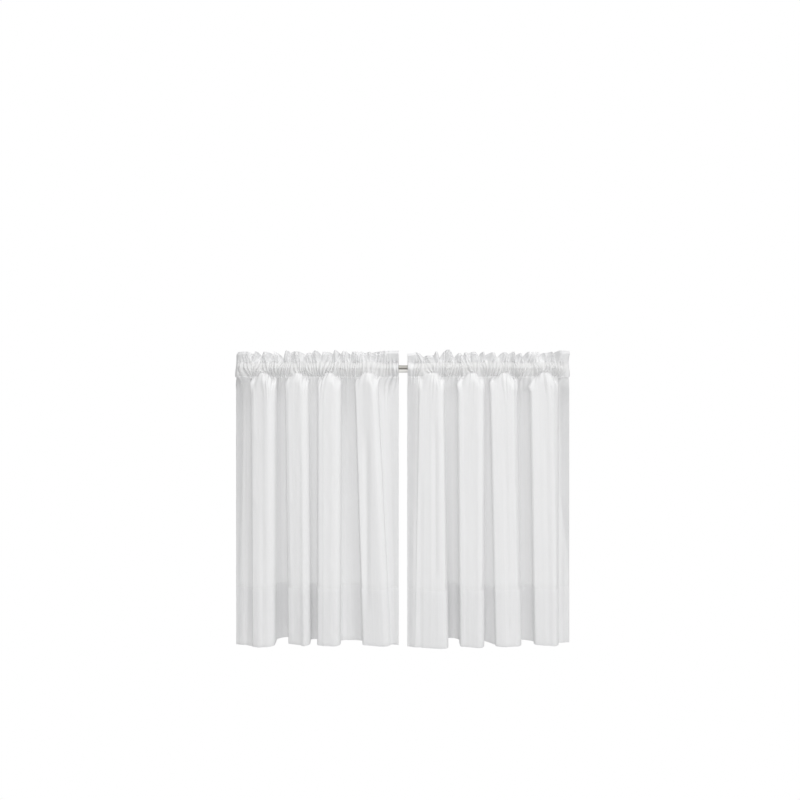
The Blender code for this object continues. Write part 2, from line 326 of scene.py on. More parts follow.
# "out" is how far the cloth stands in front of the rod's axis, in millimetres. The high sections
# lie at HIGH_SECTION and the low ones at HEM_BOTTOM, and the cloth runs straight between them.
LEFT_HIGH = Section(
    first=(-439, -35),
    strip_end=-12,
    folds=(
        Fold(left=-388, right=-324, out_left=19, out_right=25, dip=-22, dip_end=-22),
        Fold(-300, -240, 15, 19, -12, -12),
        Fold(-218, -157, 19, 19, -30, -16),
        Fold(-120, -57, 15, 22, -8, -4),
    ),
    last=(-10, 4),
)
LEFT_LOW = Section(
    first=(-426, 8),
    strip_end=20,
    folds=(
        Fold(left=-382, right=-326, out_left=24, out_right=17, dip=-28, dip_end=-40),
        Fold(-295, -237, 6, 13, -24, -22),
        Fold(-219, -159, 15, 14, -18, -16),
        Fold(-103, -30, 14, 16, 10, 16),
    ),
    last=(-10, 12),
)
RIGHT_HIGH = Section(
    first=(13, -2),
    strip_end=14,
    folds=(
        Fold(left=40, right=109, out_left=21, out_right=26, dip=-17, dip_end=-17),
        Fold(141, 210, 21, 26, -8, -8),
        Fold(226, 295, 18, 22, -32, -10),
        Fold(329, 399, 14, 20, -32, -16),
    ),
    last=(432, -6),
)
RIGHT_LOW = Section(
    first=(12.5, 20),
    strip_end=27,
    folds=(
        Fold(left=32, right=117, out_left=27, out_right=29, dip=-34, dip_end=-24),
        Fold(146, 209, 22, 24, -20, 12),
        Fold(237, 305, 22, 15, -24, -10),
        Fold(338, 400, 12, 14, 0, -8),
    ),
    last=(431, -4),
)
LEFT_RUFFLES = (
    Ruffle(x=-431, top=43, out=0, foot=-431),
    Ruffle(-400, 43, 4, -400),
    Ruffle(-391, 40, 3, -391),
    Ruffle(-387, 38, -2, -389),
    Ruffle(-378, 44, 4, -386),
    Ruffle(-369, 35, -5, -371),
    Ruffle(-352, 43, 6, -352),
    Ruffle(-336, 37, -5, -335),
    Ruffle(-329, 43, 4, -328),
    Ruffle(-310, 25, -3, -310),
    Ruffle(-297, 46, 5, -299),
    Ruffle(-291, 41, -1, -292),
    Ruffle(-273, 44, 6, -273),
    Ruffle(-253, 37, -5, -254),
    Ruffle(-243, 41, 3, -244),
    Ruffle(-233, 40, 1, -234),
    Ruffle(-223, 46, 5, -222),
    Ruffle(-210, 32, -5, -210),
    Ruffle(-204, 43, 4, -204),
    Ruffle(-190, 42, 1, -192),
    Ruffle(-181, 39, -3, -181),
    Ruffle(-173, 47, 5, -173),
    Ruffle(-162, 38, -5, -163),
    Ruffle(-152, 45, 4, -152),
    Ruffle(-135, 37, -5, -134),
    Ruffle(-126, 43, 6, -125),
    Ruffle(-108, 43, 2, -108),
    Ruffle(-93, 42, -3, -93),
    Ruffle(-85, 43, 4, -85),
    Ruffle(-80, 42, -3, -80),
    Ruffle(-66, 43, 2, -66),
    Ruffle(-45, 45, 5, -45),
    Ruffle(-10, 45, 6.5, -10),
)
RIGHT_RUFFLES = (
    Ruffle(x=13, top=38, out=4, foot=13),
    Ruffle(38, 41, 4, 52),
    Ruffle(54, 30, -4, 58),
    Ruffle(64, 34, 4, 65),
    Ruffle(78, 34, 3, 78),
    Ruffle(82, 36, -2, 82),
    Ruffle(87, 44, 5, 87),
    Ruffle(97, 29, -5, 97),
    Ruffle(117, 48, 7, 116),
    Ruffle(135, 29, -5, 135),
    Ruffle(147, 40, 5, 147),
    Ruffle(158, 33, -4, 159),
    Ruffle(163, 43, 4, 168),
    Ruffle(172, 40, -2, 173),
    Ruffle(184, 43, 5, 184),
    Ruffle(198, 33, -4, 198),
    Ruffle(208, 43, 4, 208),
    Ruffle(215, 35, -4, 215),
    Ruffle(232, 41, 6, 232),
    Ruffle(248, 30, -5, 248),
    Ruffle(262, 42, 5, 262),
    Ruffle(277, 38, -2, 276),
    Ruffle(286, 43, 5, 286),
    Ruffle(295, 34, -5, 295),
    Ruffle(304, 40, 4, 304),
    Ruffle(315, 30, -5, 314),
    Ruffle(324, 43, 4, 322),
    Ruffle(341, 43, 3, 334),
    Ruffle(352, 44, -3, 350),
    Ruffle(360, 39, -4, 361),
    Ruffle(368, 41, 4, 368),
    Ruffle(374, 40, -3, 374),
    Ruffle(384, 43, 5, 384),
    Ruffle(393, 40, -3, 393),
    Ruffle(401, 45, 8, 401),
    Ruffle(416, 45, 7, 416),
    Ruffle(432, 45, 2, 432),
)
LEFT_CREASES = (
    Crease(x_top=-354, x_bottom=-355, width=7, depth=-1.2, top=-330, bottom=-711),
    Crease(-262, -261, 6, -1.4, -120, -711),
    Crease(-93, -92, 8, -4.5, -130, -620),
    Crease(-190, -192, 9, -0.8, -150, -640),
    Crease(-400, -398, 6, -1.5, -60, -711),
    Crease(-415, -418, 5, 1.2, -80, -560),
    Crease(-140, -136, 8, 1.0, -60, -711),
)
RIGHT_CREASES = (
    Crease(x_top=82, x_bottom=83, width=7, depth=-2.8, top=-90, bottom=-560),
    Crease(46, 45, 6, -1.6, -230, -711),
    Crease(28, 30, 7, 1.0, -330, -711),
    Crease(180, 182, 7, -0.9, -120, -660),
    Crease(258, 270, 6, -1.5, -110, -711),
    Crease(364, 374, 6, -1.4, -90, -711),
    Crease(415, 428, 7, -2.0, -330, -560),
    Crease(424, 412, 7, 1.8, -430, -711),
)
LEFT_KNUCKLES = (Knuckle(x=-390, level=-36, size=7, shift=-3),)
RIGHT_KNUCKLES = (
    Knuckle(x=329, level=-49, size=8.5, shift=-4.5),
    Knuckle(141, -40, 9, -2),
)
PANELS = (
    Panel("left", LEFT_HIGH, LEFT_LOW, LEFT_RUFFLES, LEFT_CREASES, LEFT_KNUCKLES, seed=11),
    Panel("right", RIGHT_HIGH, RIGHT_LOW, RIGHT_RUFFLES, RIGHT_CREASES, RIGHT_KNUCKLES, seed=29),
)


def ease(share):
    """From 0 to 1, slow at both ends."""
    share = np.clip(share, 0, 1)
    return share * share * (3 - 2 * share)


def ease_out(share):
    """Fast at first, then slowing down to 1."""
    return 1 - (1 - np.clip(share, 0, 1)) ** 2


def corner_points(section):
    """The corners of a section, from its left edge to its right, in metres from the rod's axis."""
    points = [section.first]
    dip_before = section.strip_end
    for fold in section.folds:
        width = fold.right - fold.left
        depth_left, depth_right = fold.out_left - dip_before, fold.out_right - fold.dip
        side_left = dip_before + SIDE_SHARE * depth_left
        side_right = fold.dip + SIDE_SHARE * depth_right
        points += [
            (fold.left + min(TUCK, TUCK_SHARE * depth_left), dip_before),
            (fold.left, side_left),
            (fold.left, max(side_left, fold.out_left - EDGE_DROP)),
            (fold.left + EDGE_IN, fold.out_left),
            (fold.left + EDGE_FLAT, fold.out_left + LEFT_BULGE),
            (fold.left + LEFT_SHARE * width, fold.out_left + MIDDLE_BULGE),
            (fold.right - RIGHT_SHARE * width, fold.out_right + CROWN_BULGE),
            (fold.right - EDGE_FLAT, fold.out_right + RIGHT_BULGE),
            (fold.right - EDGE_IN, fold.out_right),
            (fold.right, max(side_right, fold.out_right - EDGE_DROP)),
            (fold.right, side_right),
            (fold.right - min(TUCK, TUCK_SHARE * depth_right), fold.dip),
        ]
        dip_before = fold.dip_end
    points.append(section.last)
    return np.array(points) * MM


def rounded(points, rounds=CORNER_CUTS):
    """Cuts every corner of a line of points again and again, which leaves a smooth curve."""
    for _ in range(rounds):
        first, second = points[:-1], points[1:]
        cuts = np.empty((2 * len(first), 2))
        cuts[0::2] = (1 - CUT_SHARE) * first + CUT_SHARE * second
        cuts[1::2] = CUT_SHARE * first + (1 - CUT_SHARE) * second
        points = np.vstack([points[:1], cuts, points[-1:]])
    return points


def arc_length(points):
    """How far along a line each of its points lies."""
    steps = np.linalg.norm(np.diff(points, axis=0), axis=1)
    return np.concatenate([[0], np.cumsum(steps)])


def at_stations(points, stations):
    """The places on a curve that lie this many of its own points from its start."""
    count = np.arange(len(points))
    return np.stack([np.interp(stations, count, points[:, axis]) for axis in (0, 1)], axis=1)


def fold_knots(section):
    """(share of the cloth, x) at each edge, crown and valley. Between them it gathers evenly."""
    corners = corner_points(section)
    length = arc_length(corners)
    shares, places = [0], [corners[0, 0]]
    for index in range(len(section.folds)):
        crown = CROWN_CORNER + CORNERS_PER_FOLD * index
        valley = CORNERS_PER_FOLD * (index + 1)
        is_last = index == len(section.folds) - 1
        for stop in (crown,) if is_last else (crown, valley):
            shares.append((length[stop] + length[stop + 1]) / 2 / length[-1])
            places.append((corners[stop, 0] + corners[stop + 1, 0]) / 2)
    return np.array(shares + [1]), np.array(places + [corners[-1, 0]])


def rod_points(places):
    """(x, y) on the rod's axis, the outward normal and how far it has turned, for each place."""
    bend_start = ROD_HALF_SPAN - ROD_RADIUS - BEND_RADIUS
    side = np.sign(places)
    angle = np.maximum(0, np.abs(places) - bend_start) / WRAP_LENGTH * WRAP_ANGLE
    along = np.minimum(np.abs(places), bend_start) + BEND_RADIUS * np.sin(angle)
    depth = ROD_PROJECTION - BEND_RADIUS * (1 - np.cos(angle))
    points = np.stack([side * along, -depth], axis=1)
    normals = np.stack([side * np.sin(angle), -np.cos(angle)], axis=1)
    return points, normals, np.sin(angle)


def layer_out(height, radius, tip, tip_out, side):
    """How far out of the rod's axis the pocket's front (side 1) or back (side -1) layer is.

    A layer follows a round of this radius and leaves it on a straight line to the stitching,
    which lies at the height of the tip, above and below, and tip_out in front of the axis.
    """
    level = min(abs(height), tip)
    reach = np.hypot(tip_out, tip)
    touch_angle = np.arctan2(tip, tip_out) - side * np.arccos(radius / reach)
    touch_out = radius * np.cos(touch_angle)
    touch_level = radius * np.sin(touch_angle)
    on_round = side * np.sqrt(np.maximum(0, radius**2 - level**2))
    share = np.clip((level - touch_level) / (tip - touch_level), 0, 1)
    return np.where(level <= touch_level, on_round, touch_out + share * (tip_out - touch_out))


def smooth_noise(across, along, cell_across, cell_along, seed):
    """Soft unevenness from -1 to 1, in cells of this size over the cloth, the same every run."""
    columns, rows = across / cell_across, along / cell_along
    low_column, low_row = np.floor(columns.min()), np.floor(rows.min())
    spans = np.array([columns.max() - low_column, rows.max() - low_row])
    size = np.ceil(spans).astype(int) + NOISE_MARGIN
    grid = np.random.RandomState(seed).uniform(-1, 1, size)
    columns, rows = columns - low_column, rows - low_row
    first, second = np.floor(columns).astype(int), np.floor(rows).astype(int)
    u, v = ease(columns - first), ease(rows - second)
    lower = grid[first, second] * (1 - u) + grid[first + 1, second] * u
    upper = grid[first, second + 1] * (1 - u) + grid[first + 1, second + 1] * u
    return lower * (1 - v) + upper * v


class Cloth:
    """One panel's threads, and where they run at each height."""

    def __init__(self, panel):
        self.panel = panel
        share = np.linspace(0, 1, COLUMNS + 1)
        knot_shares, knot_places = fold_knots(panel.high)
        curve = rounded(corner_points(panel.high))
        curve_length = arc_length(curve)
        self.width = curve_length[-1]
        self.share = share
        self.across = share * self.width
        self.places = np.interp(share, knot_shares, knot_places)
        self.stations = np.interp(self.across, curve_length, np.arange(len(curve)))
        self.on_rod, self.normal, self.wrap = rod_points(self.places)
        self.set_gathers()
        self.set_ruffles()
        self.hung = at_stations(curve, self.stations)[:, 0]
        self.crownness = self.find_crowns()
        forward = VALLEY_FORWARD + (1 - VALLEY_FORWARD) * self.crownness
        self.stitch_out = WRAP_STEP_OUT * self.wrap + STITCH_FORWARD * forward * self.calm

    def set_gathers(self):
        """Rounded gathers of uneven width and slant. Between two of them the cloth is nipped in."""
        chance = np.random.RandomState(self.panel.seed)
        widths = 1 + GATHER_JITTER * chance.uniform(-1, 1, GATHERS)
        bounds = np.concatenate([[0], np.cumsum(widths)]) / widths.sum()
        self.turn = np.interp(self.share, bounds, np.arange(GATHERS + 1))
        self.strengths = np.sqrt(widths) * chance.uniform(*GATHER_STRENGTHS, GATHERS)
        self.reaches = chance.uniform(STREAK_SHORTEST, STREAK_LONGEST, GATHERS)
        flat = np.zeros(len(self.share))
        self.slant = smooth_noise(self.across, flat, SLANT_CELL, 1, self.panel.seed + 1)
        self.slant_below = smooth_noise(self.across, flat, SLANT_CELL, 1, self.panel.seed + 2)
        wobble = smooth_noise(self.across, flat, WOBBLE_CELL, 1, self.panel.seed + 4)
        self.wobble = STITCH_WOBBLE * wobble * (1 - self.wrap)
        packing = np.gradient(self.across, self.places)
        packed = FULLNESS_PACKED * np.sqrt(np.maximum(0, packing**2 - 1))
        self.fullness = np.minimum(FULLNESS_FLAT + packed, FULLNESS_MOST)
        self.calm = 1 - WRAP_CALM * self.wrap
        from_side = np.minimum(self.places - self.places[0], self.places[-1] - self.places)
        self.loose = ease((from_side - FLAP_SMOOTH) / (FLAP_ENDS - FLAP_SMOOTH))

    def gathers(self, drift):
        """(bulge, wave, reach) of the gathers, once they have drifted across by this many."""
        turn = np.clip(self.turn + drift, 0, GATHERS - BELOW_LAST)
        index = turn.astype(int)
        bulge = np.abs(np.sin(math.pi * turn)) ** GATHER_ROUND * self.strengths[index]
        wave = -np.cos(2 * math.pi * turn)
        return bulge, wave, self.reaches[index]

    def set_ruffles(self):
        """The heading's crests are round and its notches sharp."""
        ruffles = self.panel.ruffles
        feet = np.array([ruffle.foot for ruffle in ruffles]) * MM
        tops = np.array([ruffle.top for ruffle in ruffles]) * MM
        outs = np.array([ruffle.out for ruffle in ruffles]) * MM
        shifts = np.array([ruffle.x - ruffle.foot for ruffle in ruffles]) * MM
        index = np.clip(np.searchsorted(feet, self.places) - 1, 0, len(feet) - 2)
        within = np.clip((self.places - feet[index]) / (feet[index + 1] - feet[index]), 0, 1)
        is_rising = tops[index + 1] > tops[index]
        rising = np.sin(within * math.pi / 2) ** PETAL_ROUND
        falling = 1 - np.sin((1 - within) * math.pi / 2) ** PETAL_ROUND
        petal = np.where(is_rising, rising, falling)
        self.top = tops[index] + petal * (tops[index + 1] - tops[index])
        self.lean = outs[index] + ease(within) * (outs[index + 1] - outs[index])
        self.shift = shifts[index] + ease(within) * (shifts[index + 1] - shifts[index])

    def find_crowns(self):
        """1 in the middle of each fold's crown, down to 0 at its edges and in the valleys."""
        crown = np.zeros(len(self.hung))
        for fold in self.panel.high.folds:
            middle = (fold.left + fold.right) / 2 * MM
            half = (fold.right - fold.left) / 2 * MM
            crown = np.maximum(crown, 1 - ((self.hung - middle) / half) ** 2)
        return crown

    def heading(self, rise):
        """The heading at this share of its height: small gathers below, loose petals above."""
        _, wave, _ = self.gathers(self.slant * (1 + rise))
        fading = FLAP_FADE - (FLAP_FADE - 1) * self.loose
        gathered = wave * STITCH_WAVE * np.maximum(0, 1 - rise * fading)
        rises = np.full(len(self.share), rise)
        loose = smooth_noise(self.across, rises, LOOSE_CELL, LOOSE_RISE, self.panel.seed + 3)
        ruffled = rise * (PETAL_DEPTH * self.lean + LOOSE_DEPTH * loose * self.loose)
        puffed = PUFF * math.sin(min(1, rise / RIM_START) * math.pi / 2)
        curled = RIM_BACK * ease((rise - RIM_START) / (1 - RIM_START))
        out = (ruffled + gathered + puffed - curled) * self.calm + WRAP_STEP_OUT * self.wrap
        points = self.on_rod + self.normal * out[:, None]
        points[:, 0] += rise * self.shift * self.calm
        foot = POCKET_TIP + self.wobble
        level = foot + rise * (self.top - foot)
        return points, self.normal, level

    def pocket(self, height, side):
        """The pocket's front or back layer, which swells round the rod with each gather."""
        tip_out = self.stitch_out if height < 0 else WRAP_STEP_OUT * self.wrap
        radius = ROD_RADIUS + 2 * LAYER_GAP
        base = layer_out(height, radius, POCKET_TIP, tip_out, side)
        room = 1 - abs(height / POCKET_TIP) ** POCKET_SQUARE
        drift = self.slant * height / POCKET_TIP
        bulge, wave, _ = self.gathers(drift if side > 0 else drift + BACK_DRIFT)
        streaks = ease((STREAKS_START - height) / (STREAKS_START - STREAKS_FULL))
        uneven = (1 - POCKET_SMOOTH) * streaks + POCKET_SMOOTH
        swelling = MIDDLE_SWELL + (bulge - MIDDLE_SWELL) * uneven
        swell = POCKET_BULGE * room * self.fullness * self.calm * swelling
        at_stitch = wave * side * STITCH_WAVE * (1 - room) * self.calm
        points = self.on_rod + self.normal * (base + side * swell + at_stitch)[:, None]
        spreading = EARLY_SPREAD * ease((STREAKS_START - height) / (STREAKS_START + POCKET_TIP))
        points[:, 0] += spreading * (self.hung - self.on_rod[:, 0])
        wobbling = self.wobble * ease((height + POCKET_TIP) / (2 * POCKET_TIP))
        return points, self.normal, self.drawn_up(height) + wobbling

    def body(self, height):
        """The hanging cloth, from its gathers to its folds, with its creases and unevenness."""
        fall = (height - HIGH_SECTION) / (HEM_BOTTOM - HIGH_SECTION)
        panel = self.panel
        corners = (1 - fall) * corner_points(panel.high) + fall * corner_points(panel.low)
        folded = at_stations(rounded(corners), self.stations)
        depth = -POCKET_TIP - height
        spread = EARLY_SPREAD + (1 - EARLY_SPREAD) * ease_out(depth / SPREAD_FADE)
        # The delay is longest halfway between a crown and the valley beside it.
        delay = ARCH_DELAY * 4 * self.crownness * (1 - self.crownness)
        forward = ease_out((depth - delay) / (FORWARD_FADE - CROWN_LEADS * self.crownness))
        start = self.on_rod + self.normal * self.stitch_out[:, None]
        x = (1 - spread) * start[:, 0] + spread * folded[:, 0]
        y = (1 - forward) * start[:, 1] + forward * (-ROD_PROJECTION - folded[:, 1])
        base = np.stack([x, y], axis=1)
        along = np.gradient(base, axis=0)
        along /= np.linalg.norm(along, axis=1)[:, None]
        normal = np.stack([along[:, 1], -along[:, 0]], axis=1)

        sprung = ease(depth / SPRING_OUT)
        drift = -self.slant + self.slant_below * min(1, depth / DRAWN_BELOW)
        bulge, wave, reach = self.gathers(drift)
        fade = np.exp(-((max(depth, 0) / reach) ** GATHER_FADE))
        strength = BODY_BULGE * self.fullness * (VALLEY_STRENGTH - CROWN_WEAKENS * self.crownness)
        bulge = (bulge - MIDDLE_SWELL) * strength
        gathered = sprung * bulge * fade + (1 - sprung) * wave * STITCH_WAVE
        settled = ease(depth / SETTLED_BELOW)
        heights = np.full(x.shape, height)
        uneven = np.zeros(x.shape)
        for depth_here, cell_across, cell_along, seed in UNEVENNESS:
            uneven += depth_here * smooth_noise(self.across, heights, cell_across, cell_along, seed)
        offset = gathered * self.calm + settled * (uneven + self.creases(x, height))
        offset -= HEM_PINCH * math.exp(-(((height - HEM_LINE) / PINCH_HEIGHT) ** 2))
        points = base + normal * offset[:, None]
        points[:, 0] += self.knuckles(height)
        return points, normal, self.drawn_up(height)

    def knuckles(self, height):
        """How far the fold's edges are pulled sideways at this height."""
        shift = np.zeros(len(self.hung))
        for knuckle in self.panel.knuckles:
            size = knuckle.size * MM
            beside = (self.hung - knuckle.x * MM) / size
            above = (height - knuckle.level * MM) / size
            shift += knuckle.shift * MM * np.exp(-(beside**2) - above**2)
        return shift

    def drawn_up(self, height):
        """The heights of a row near the pocket's lower stitching, which the crowns pull up."""
        below = -POCKET_TIP - height
        near = 1 - below / DRAWN_BELOW if below > 0 else 1 + below / DRAWN_ABOVE
        pulled = ease((self.crownness - DRAWN_FROM) / (DRAWN_ALL - DRAWN_FROM))
        return height + DRAWN_UP * ease(near) * pulled

    def creases(self, x, height):
        """The soft troughs and ridges listed for the panel."""
        total = np.zeros(len(x))
        for crease in self.panel.creases:
            top, bottom = crease.top * MM, crease.bottom * MM
            fall = (top - height) / (top - bottom)
            if fall <= 0:
                continue
            middle = (crease.x_top + fall * (crease.x_bottom - crease.x_top)) * MM
            fade = ease(fall / CREASE_FADE)
            if bottom > HEM_BOTTOM:
                fade *= ease((CREASE_END - fall) / CREASE_FADE)
            beside = (x - middle) / (crease.width * MM)
            total += crease.depth * MM * fade * np.exp(-(beside**2))
        return total


class Row(NamedTuple):
    """One row of the sheet: its points, normals and levels, and where its doubled parts lie.

    behind is how far the row lies behind the cloth's face. side_turn is 1 where the side hems
    turn behind the row, and -1 where they turn in front of it, on a layer that is turned back.
    """

    points: np.ndarray
    normal: np.ndarray
    level: np.ndarray
    behind: float
    side_turn: float


# The levels of the rows, or the shares of the heading's height, on the cloth's face and behind it.
BODY_LEVELS = np.concatenate(
    [
        np.linspace(HEM_BOTTOM + FOLD_ROUND, HEM_LINE - SEAM_ROW_GAP, HEM_ROWS),
        [HEM_LINE, HEM_LINE + SEAM_ROW_GAP],
        np.linspace(HEM_LINE + FOLDS_START, FOLDS_END, FOLD_ROWS),
        np.linspace(CROWNS_START, CROWNS_END, CROWN_ROWS),
        np.linspace(GATHERS_START, -POCKET_TIP - GATHERS_GAP, GATHER_ROWS),
    ]
)
POCKET_LEVELS = np.sin(np.linspace(-1, 1, POCKET_ROWS) * math.pi / 2) * POCKET_TIP
HEADING_RISES = np.linspace(HEADING_FIRST, 1, HEADING_ROWS)
HEM_BACK_LEVELS = np.linspace(HEM_LINE - HEM_BACK_GAP, HEM_BOTTOM + FOLD_ROUND, HEM_BACK_ROWS)
HEADING_BACK_RISES = np.linspace(HEADING_BACK_FIRST, HEADING_BACK_LAST, HEADING_BACK_ROWS)
POCKET_BACK_LEVELS = np.sin(np.linspace(1, -1, POCKET_BACK_ROWS) * math.pi / 2) * POCKET_TIP

# The rows round the cloth's lower fold, as (drop in fold radii, share of the gap behind), and
# those over the heading's top, as (share of the heading's height, share of the gap behind).
HEM_TURN = ((-0.1, 1.15), (-0.6, 0.9), (-1.0, 0.5), (-0.6, 0.1))
TOP_TURN = ((1.025, 0.12), (1.045, 0.38), (1.045, 0.68), (1.02, 0.93))


def sheet_rows(cloth):
    """The rows of one panel's cloth, from the hem's raw edge to the pocket's turned edge."""
    rows = []
    for level in HEM_BACK_LEVELS:
        rows.append(Row(*cloth.body(level), behind=HEM_GAP, side_turn=-1))
    for drop, share in HEM_TURN:
        points, normal, _ = cloth.body(HEM_BOTTOM + FOLD_ROUND)
        level = np.full(len(cloth.share), HEM_BOTTOM + FOLD_ROUND + drop * FOLD_ROUND)
        rows.append(Row(points, normal, level, behind=share * HEM_GAP, side_turn=1))
    for level in BODY_LEVELS:
        rows.append(Row(*cloth.body(level), behind=0, side_turn=1))
    for level in POCKET_LEVELS:
        rows.append(Row(*cloth.pocket(level, 1), behind=0, side_turn=1))
    for rise in HEADING_RISES:
        rows.append(Row(*cloth.heading(rise), behind=0, side_turn=1))
    for rise, share in TOP_TURN:
        rows.append(Row(*cloth.heading(rise), behind=share * HEADING_GAP, side_turn=1))
    for rise in HEADING_BACK_RISES:
        gap = STITCHED_GAP + rise * (HEADING_GAP - STITCHED_GAP)
        rows.append(Row(*cloth.heading(rise), behind=gap, side_turn=-1))
    for level in POCKET_BACK_LEVELS:
        rows.append(Row(*cloth.pocket(level, -1), behind=STITCHED_GAP, side_turn=-1))
    points, normal, _ = cloth.pocket(-POCKET_TIP, -1)
    level = cloth.drawn_up(-POCKET_TIP) - POCKET_EDGE
    rows.append(Row(points, normal, level, behind=STITCHED_GAP, side_turn=-1))
    return rows


def row_line(cloth, row):
    """One row's points, with its side hems turned back behind its two edges."""
    count = len(cloth.share)
    step = SIDE_HEM / cloth.width * COLUMNS / SIDE_COLUMNS
    turned = np.arange(SIDE_COLUMNS, 0, -1) * step
    order = np.concatenate([turned, np.arange(count), count - 1 - turned[::-1]])
    ends = np.arange(count)
    depth = np.full(count, row.behind)
    turn = ease(np.arange(1, SIDE_COLUMNS + 1) / SIDE_HEM_TURN) * LAYER_GAP * row.side_turn
    behind = np.concatenate([row.behind + turn[::-1], depth, row.behind + turn])
    columns = []
    for axis in (0, 1):
        offset = np.interp(order, ends, row.normal[:, axis]) * behind
        columns.append(np.interp(order, ends, row.points[:, axis]) - offset)
    columns.append(np.interp(order, ends, row.level))
    return np.stack(columns, axis=1)


def cloth_across(cloth):
    """How far across the cut cloth each column lies, from the left side hem's raw edge."""
    step = SIDE_HEM / SIDE_COLUMNS
    turned = np.arange(SIDE_COLUMNS) * step
    after = SIDE_HEM + cloth.width + step + turned
    return np.concatenate([turned, SIDE_HEM + cloth.across, after])


def grid_mesh(name, lines, across, along):
    """A mesh of one smooth sheet, with its place on the flat cloth as its UV map, in metres."""
    row_count, column_count = lines.shape[:2]
    mesh = bpy.data.meshes.new(name)
    faces = []
    for row in range(row_count - 1):
        start = row * column_count
        for column in range(column_count - 1):
            first = start + column
            faces.append((first, first + 1, first + column_count + 1, first + column_count))
    mesh.from_pydata(lines.reshape(-1, 3).tolist(), [], faces)
    flat = np.stack(np.meshgrid(across, along), axis=2).reshape(-1, 2)
    uv = mesh.uv_layers.new(name="cloth")
    corners = np.empty(len(mesh.loops), dtype=np.int32)
    mesh.loops.foreach_get("vertex_index", corners)
    uv.data.foreach_set("uv", flat[corners].ravel().astype(np.float32))
    mesh.shade_smooth()
    return mesh


def add_piece(name, mesh, material):
    """A piece that rides on the part's one body and belongs to a slot of its materials."""
    piece = bpy.data.objects.new(name, mesh)
    bpy.context.scene.collection.objects.link(piece)
    piece.data.materials.append(material)
    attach(piece, "root")
    return piece


def make_panel(panel, material):
    """One panel's sheet. Its flat length is the middle way of its columns along the cloth."""
    cloth = Cloth(panel)
    lines = np.stack([row_line(cloth, row) for row in sheet_rows(cloth)])
    steps = np.median(np.linalg.norm(np.diff(lines, axis=0), axis=2), axis=1)
    along = np.concatenate([[0], np.cumsum(steps)])
    across = cloth_across(cloth)
    along -= along[len(HEM_BACK_LEVELS) + len(HEM_TURN) // 2]
    mesh = grid_mesh("cloth_" + panel.side, lines, across, along)
    piece = add_piece("cloth_" + panel.side, mesh, material)
    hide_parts("panel_" + panel.side)
    return cloth


def place_across(cloth, points, levels, distances):
    """Points this far across the cloth, on a row with these levels."""
    axes = [points[:, 0], points[:, 1], levels]
    return np.stack([np.interp(distances, cloth.across, axis) for axis in axes], axis=1)


def outward(cloth, points, distances):
    """(along, out) of a row, unit vectors at these distances across the cloth."""
    along = np.gradient(points, axis=0)
    along /= np.linalg.norm(along, axis=1)[:, None]
    x, y = [np.interp(distances, cloth.across, along[:, axis]) for axis in (0, 1)]
    flat = np.zeros(len(distances))
    return np.stack([x, y, flat], axis=1), np.stack([y, -x, flat], axis=1)


def stitches_across(cloth, row):
    """(start, end, sideways, out) of the stitches of a seam that runs across the panel."""
    points, _, levels = row
    starts = np.arange(STITCH_PITCH, cloth.width - 2 * STITCH_PITCH, STITCH_PITCH)
    _, out = outward(cloth, points, starts + STITCH_LENGTH / 2)
    sideways = np.zeros_like(out)
    sideways[:, 2] = 1
    first = place_across(cloth, points, levels, starts)
    second = place_across(cloth, points, levels, starts + STITCH_LENGTH)
    return first, second, sideways, out


def stitches_down(cloth):
    """The same for the two side hems, from the hem to the pocket."""
    distances = np.array([SIDE_HEM - STITCH_PITCH / 2, cloth.width - SIDE_HEM + STITCH_PITCH / 2])
    found = []
    for level in np.arange(HEM_BOTTOM + STITCH_PITCH, -2 * POCKET_TIP, STITCH_PITCH):
        places = []
        for height in (level, level + STITCH_LENGTH):
            points, _, levels = cloth.body(height)
            places.append(place_across(cloth, points, levels, distances))
        sideways, out = outward(cloth, points, distances)
        found.append((*places, sideways, out))
    return tuple(np.concatenate(parts) for parts in zip(*found))


def make_stitching(cloth, material):
    """The threads that show on the front, each a flat little box laid on the cloth.

    A box has four corners at its start and four at its end, which its six sides join.
    """
    seams = [
        stitches_across(cloth, cloth.heading(0)),
        stitches_across(cloth, cloth.pocket(-POCKET_TIP, 1)),
        stitches_across(cloth, cloth.body(HEM_LINE)),
        stitches_down(cloth),
    ]
    first, second, sideways, out = (np.concatenate(parts) for parts in zip(*seams))
    half = STITCH_WIDTH / 2
    section = ((-half, -STITCH_SUNK), (half, -STITCH_SUNK))
    section += ((half, STITCH_PROUD), (-half, STITCH_PROUD))
    corners = []
    for place in (first, second):
        for beside, lift in section:
            corners.append(place + beside * sideways + lift * out)
    points = np.stack(corners, axis=1).reshape(-1, 3)
    ends = [(3, 2, 1, 0), (4, 5, 6, 7)]
    sides = [(0, 1, 5, 4), (1, 2, 6, 5), (2, 3, 7, 6), (3, 0, 4, 7)]
    starts = np.arange(len(first)) * len(corners)
    faces = (starts[:, None, None] + np.array(ends + sides)).reshape(-1, 4)
    mesh = bpy.data.meshes.new("stitching_" + cloth.panel.side)
    mesh.from_pydata(points.tolist(), [], faces.tolist())
    add_piece("stitching_" + cloth.panel.side, mesh, material)


def rod_path():
    """The rod's axis, from the wall on the left to the wall on the right, with its normals."""
    bend_start = ROD_HALF_SPAN - ROD_RADIUS - BEND_RADIUS
    right = []
    for step in range(BEND_STEPS + 1):
        angle = step / BEND_STEPS * math.pi / 2
        x = bend_start + BEND_RADIUS * math.sin(angle)
        y = -ROD_PROJECTION + BEND_RADIUS * (1 - math.cos(angle))
        right.append((x, y, math.sin(angle), -math.cos(angle)))
    right.append((right[-1][0], 0.0, 1.0, 0.0))
    left = [(-x, y, -normal_x, normal_y) for x, y, normal_x, normal_y in reversed(right)]
    return left + right


